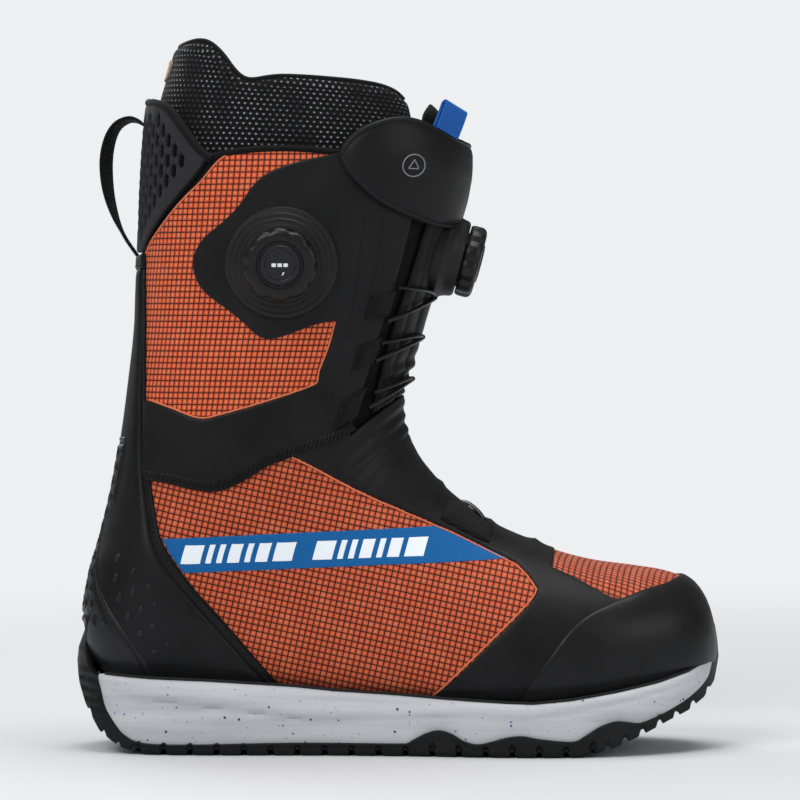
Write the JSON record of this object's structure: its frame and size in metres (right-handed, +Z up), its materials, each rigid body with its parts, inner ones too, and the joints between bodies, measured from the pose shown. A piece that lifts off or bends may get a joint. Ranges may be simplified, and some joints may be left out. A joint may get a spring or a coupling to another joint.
{
  "type": "snowboard boot",
  "caption": "Right-foot soft snowboard boot with two turning lace dials, an opening tongue, a flexing cuff, a padded liner and a lugged sole.",
  "frame": {"origin": "on the ground, on the flat tread under the arch, midway along the sole", "axes": "+X to the toe, -Y to the outer (lateral) side of this right boot, +Z up"},
  "size_m": [0.3035, 0.1336, 0.3316],
  "materials": {
    "tread_rubber": "matt black moulded rubber",
    "foam": "light grey foam with small dark and blue flecks",
    "gel": "blue translucent gel, satin",
    "board": "pressed fibre board",
    "shank": "dark glass-filled nylon",
    "black_overlay": "smooth black coated synthetic, low sheen",
    "orange_ripstop": "orange cloth with a raised black thread grid",
    "blue_tape": "blue woven tape with plain white bars",
    "collar_mesh": "black spacer mesh with long openings",
    "liner_knit": "black knit with a dotted grey pattern",
    "footbed_foam": "dark brushed cloth over foam",
    "label": "beige sewn label, plain",
    "webbing": "grey-white webbing with a black reverse",
    "blue_webbing": "blue webbing",
    "dial_plastic": "black moulded nylon, satin",
    "dial_inner": "dark grey moulded nylon",
    "steel": "plain steel",
    "cable": "dark coated steel cable"
  },
  "bodies": {
    "foot": {"outsole": "tread_rubber", "midsole": "foam", "heel_gel_pad": "gel", "sole_shank": "shank", "lasting_board": "board", "lower_shell": "black_overlay", "toe_cap": "black_overlay", "toe_panel": "orange_ripstop", "quarter_panel_lateral": "orange_ripstop", "quarter_panel_medial": "orange_ripstop", "stripe_lateral": "blue_tape", "stripe_medial": "blue_tape", "heel_wing": "black_overlay", "heel_dimple_overlay": "black_overlay", "heel_stiffener": "shank", "liner_foot": "liner_knit", "footbed": "footbed_foam", "instep_guide_lateral": "black_overlay", "instep_guide_medial": "black_overlay", "instep_cable": "cable"},
    "cuff": {"cuff_shell": "black_overlay", "cuff_panel_lateral": "orange_ripstop", "cuff_panel_medial": "orange_ripstop", "dial_patch_lateral": "black_overlay", "dial_patch_medial": "black_overlay", "ankle_band_lateral": "black_overlay", "ankle_band_medial": "black_overlay", "collar_panel": "collar_mesh", "backstay": "black_overlay", "pull_loop": "webbing", "liner_leg": "liner_knit", "liner_label": "label", "side_dial_base": "dial_plastic", "side_dial_screw": "steel", "throat_guide_upper_lateral": "dial_inner", "throat_guide_upper_medial": "dial_inner", "throat_guide_middle_lateral": "dial_inner", "throat_guide_middle_medial": "dial_inner", "throat_guide_lower_lateral": "dial_inner", "throat_guide_lower_medial": "dial_inner"},
    "tongue": {"tongue": "black_overlay", "tongue_cap": "black_overlay", "liner_tongue": "liner_knit", "front_dial_base": "dial_plastic", "front_dial_screw": "steel", "throat_cable_upper": "cable", "throat_cable_middle": "cable", "throat_cable_lower": "cable"},
    "pull_tab": {"pull_tab": "blue_webbing"},
    "side_winder": {"side_spool": "dial_inner", "side_drive_gear": "dial_inner"},
    "side_knob": {"side_knob": "dial_plastic", "side_knob_cap": "dial_inner"},
    "front_winder": {"front_spool": "dial_inner", "front_drive_gear": "dial_inner"},
    "front_knob": {"front_knob": "dial_plastic", "front_knob_cap": "dial_inner"}
  },
  "joints": [
    {"name": "ankle_flex", "type": "hinge", "parent": "foot", "child": "cuff", "pos_m": [-0.04, 0, 0.116], "axis": [0, 1, 0], "range_deg": [0, 10], "stiffness_Nm_per_rad": 12},
    {"name": "tongue_open", "type": "hinge", "parent": "cuff", "child": "tongue", "pos_m": [0.00226, 0, 0.16498], "axis": [0, 1, 0], "range_deg": [0, 22], "stiffness_Nm_per_rad": 1},
    {"name": "tab_flip", "type": "hinge", "parent": "tongue", "child": "pull_tab", "pos_m": [0.0217, -0.03381, 0.28868], "axis": [0.5945, 0.7323, -0.3323], "range_deg": [-12, 40], "stiffness_Nm_per_rad": 0.005},
    {"name": "side_dial_spin", "type": "hinge", "parent": "cuff", "child": "side_winder", "pos_m": [-0.0541, -0.05751, 0.22755], "axis": [-0.0222, -0.9967, -0.0786], "continuous": true},
    {"name": "side_dial_pull", "type": "slide", "parent": "side_winder", "child": "side_knob", "axis": [-0.0222, -0.9967, -0.0786], "range_m": [0, 0.0025]},
    {"name": "front_dial_spin", "type": "hinge", "parent": "tongue", "child": "front_winder", "pos_m": [0.02591, 0, 0.23096], "axis": [0.9659, 0, -0.2588], "continuous": true},
    {"name": "front_dial_pull", "type": "slide", "parent": "front_winder", "child": "front_knob", "axis": [0.9659, 0, -0.2588], "range_m": [0, 0.0025]}
  ]
}
